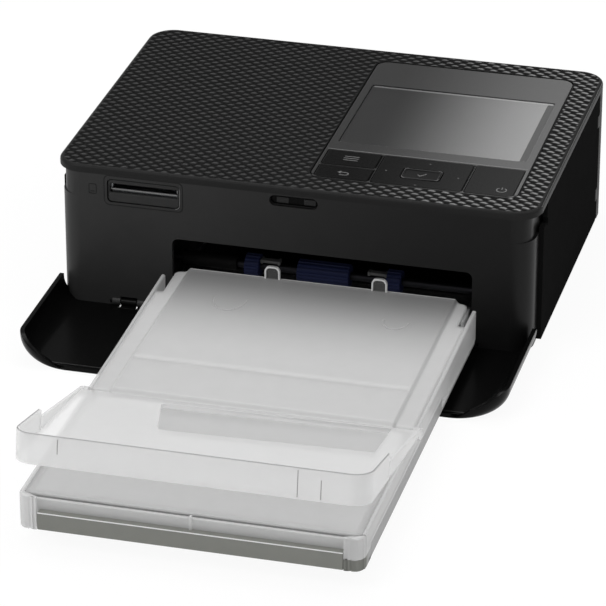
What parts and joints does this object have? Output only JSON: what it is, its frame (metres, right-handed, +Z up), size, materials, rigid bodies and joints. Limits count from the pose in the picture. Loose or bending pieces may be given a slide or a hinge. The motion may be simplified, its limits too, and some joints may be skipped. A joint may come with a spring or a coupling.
{
  "type": "photo_printer",
  "caption": "Compact photo printer with its front door open, a translucent paper cassette in the front and a tilted display panel of keys on top",
  "frame": {"origin": "the point on the table surface under the middle of the bounding box, cassette included", "axes": "+X right, -Y towards the user (the paper opening faces -Y), +Z up"},
  "size_m": [0.1822, 0.3084, 0.0576],
  "materials": {
    "textured_black": "fine raised lattice",
    "black_plastic": "moulded",
    "front_black": "smooth",
    "side_black": "smooth",
    "panel_grey": "smooth, slightly glossy",
    "display_glass": "clear over a grey screen",
    "display_grey": "flat",
    "steel": "plain",
    "rubber": "plain",
    "blue_rubber": "ribbed",
    "grey_plastic": "moulded",
    "board_green": "solder mask",
    "gear_plastic": "moulded",
    "brass": "turned",
    "aluminium": "extruded",
    "ribbon_film": "wound film",
    "cassette_grey": "smooth",
    "frosted_plastic": "frosted, translucent"
  },
  "bodies": {
    "printer": {"base_shell": "black_plastic", "front_shell": "front_black", "left_side_panel": "side_black", "rear_panel": "side_black", "top_cover": "textured_black", "side_cover_pins": "steel", "rubber_feet": "rubber", "case_screws": "steel", "door_hinge_pins": "steel", "door_catch": "grey_plastic", "card_slot_frame": "front_black", "card_socket": "steel", "control_panel": "panel_grey", "display_window": "display_glass", "display_module": "display_grey", "key_board": "board_green", "main_board": "board_green", "chassis_left_plate": "steel", "chassis_right_plate": "steel", "paper_guide": "steel", "drive_motor": "steel", "motor_bracket": "steel", "ribbon_cartridge": "grey_plastic", "dc_inlet": "black_plastic", "usb_socket": "steel"},
    "door": {"front_door": "side_black"},
    "ribbon_door": {"side_cover": "side_black"},
    "cassette": {"cassette_tray": "cassette_grey", "cassette_walls": "frosted_plastic", "cassette_rear_lid": "frosted_plastic", "cassette_inner_lid": "frosted_plastic"},
    "cassette_cover": {"output_cover": "frosted_plastic"},
    "lift": {"lift_plate": "steel"},
    "menu": {"menu_key": "panel_grey"},
    "back": {"back_key": "panel_grey"},
    "navigation": {"navigation_key": "panel_grey"},
    "confirm": {"ok_key": "panel_grey"},
    "power": {"power_key": "panel_grey"},
    "pickup": {"pickup_shaft": "steel", "pickup_rollers": "blue_rubber", "pickup_gear": "gear_plastic"},
    "front_idler": {"idler_gear_front": "gear_plastic"},
    "capstan": {"capstan_roller": "steel", "capstan_gear": "gear_plastic"},
    "pinch": {"pinch_roller": "rubber"},
    "rear_idler": {"idler_gear_rear": "gear_plastic"},
    "platen": {"platen_shaft": "steel", "platen_roller": "rubber", "platen_gear": "gear_plastic"},
    "pinion": {"motor_pinion": "brass"},
    "print_head": {"head_arm": "steel", "thermal_head": "aluminium"},
    "supply": {"supply_spool": "ribbon_film"},
    "takeup": {"takeup_spool": "ribbon_film"}
  },
  "joints": [
    {"name": "door_hinge", "type": "hinge", "parent": "printer", "child": "door", "pos_m": [0, 0.0218, 0.003], "axis": [-1, 0, 0], "range_deg": [0, 3]},
    {"name": "ribbon_door_hinge", "type": "hinge", "parent": "printer", "child": "ribbon_door", "pos_m": [0.0896, 0.1384, 0.028], "axis": [0, 0, 1], "range_deg": [0, 95]},
    {"name": "cassette_slide", "type": "slide", "parent": "printer", "child": "cassette", "axis": [0, -1, 0], "range_m": [0, 0.17]},
    {"name": "cover_hinge", "type": "hinge", "parent": "cassette", "child": "cassette_cover", "pos_m": [0.011, -0.0783, 0.0184], "axis": [-1, 0, 0], "range_deg": [-9, 75]},
    {"name": "lift_hinge", "type": "hinge", "parent": "cassette", "child": "lift", "pos_m": [0.011, -0.1288, 0.0084], "axis": [1, 0, 0], "range_deg": [0, 1.2]},
    {"name": "menu_press", "type": "slide", "parent": "printer", "child": "menu", "axis": [0, 0, -1], "range_m": [0, 0.0004], "stiffness_N_per_m": 400, "springref_m": -0.0002},
    {"name": "back_press", "type": "slide", "parent": "printer", "child": "back", "axis": [0, 0, -1], "range_m": [0, 0.0004], "stiffness_N_per_m": 400, "springref_m": -0.0002},
    {"name": "navigation_press", "type": "slide", "parent": "printer", "child": "navigation", "axis": [0, 0, -1], "range_m": [0, 0.0004], "stiffness_N_per_m": 400, "springref_m": -0.0002},
    {"name": "confirm_press", "type": "slide", "parent": "printer", "child": "confirm", "axis": [0, 0, -1], "range_m": [0, 0.0004], "stiffness_N_per_m": 400, "springref_m": -0.0002},
    {"name": "power_press", "type": "slide", "parent": "printer", "child": "power", "axis": [0, 0, -1], "range_m": [0, 0.0004], "stiffness_N_per_m": 400, "springref_m": -0.0002},
    {"name": "motor_spin", "type": "hinge", "parent": "printer", "child": "pinion", "pos_m": [0, 0.0902, 0.03035], "axis": [1, 0, 0], "continuous": true},
    {"name": "rear_idler_spin", "type": "hinge", "parent": "printer", "child": "rear_idler", "pos_m": [0, 0.0817, 0.02022], "axis": [1, 0, 0], "continuous": true},
    {"name": "capstan_spin", "type": "hinge", "parent": "printer", "child": "capstan", "pos_m": [0, 0.0632, 0.015], "axis": [1, 0, 0], "continuous": true},
    {"name": "front_idler_spin", "type": "hinge", "parent": "printer", "child": "front_idler", "pos_m": [0, 0.04831, 0.01813], "axis": [1, 0, 0], "continuous": true},
    {"name": "pickup_spin", "type": "hinge", "parent": "printer", "child": "pickup", "pos_m": [0, 0.0357, 0.0175], "axis": [1, 0, 0], "continuous": true},
    {"name": "platen_spin", "type": "hinge", "parent": "printer", "child": "platen", "pos_m": [0, 0.0962, 0.0117], "axis": [1, 0, 0], "continuous": true},
    {"name": "pinch_spin", "type": "hinge", "parent": "printer", "child": "pinch", "pos_m": [0, 0.0632, 0.0222], "axis": [1, 0, 0], "continuous": true},
    {"name": "head_lift", "type": "hinge", "parent": "printer", "child": "print_head", "pos_m": [0, 0.1332, 0.045], "axis": [-1, 0, 0], "range_deg": [0, 2.5]},
    {"name": "supply_spin", "type": "hinge", "parent": "printer", "child": "supply", "pos_m": [0, 0.1162, 0.032], "axis": [1, 0, 0], "continuous": true},
    {"name": "takeup_spin", "type": "hinge", "parent": "printer", "child": "takeup", "pos_m": [0, 0.0792, 0.033], "axis": [1, 0, 0], "continuous": true}
  ],
  "couplings": [
    {"joint": "motor_spin", "follows": "platen_spin", "ratio": 2},
    {"joint": "rear_idler_spin", "follows": "platen_spin", "ratio": -0.75},
    {"joint": "capstan_spin", "follows": "platen_spin", "ratio": 0.75},
    {"joint": "front_idler_spin", "follows": "platen_spin", "ratio": -1.3333},
    {"joint": "pickup_spin", "follows": "platen_spin", "ratio": 1},
    {"joint": "pinch_spin", "follows": "platen_spin", "ratio": -0.75}
  ]
}
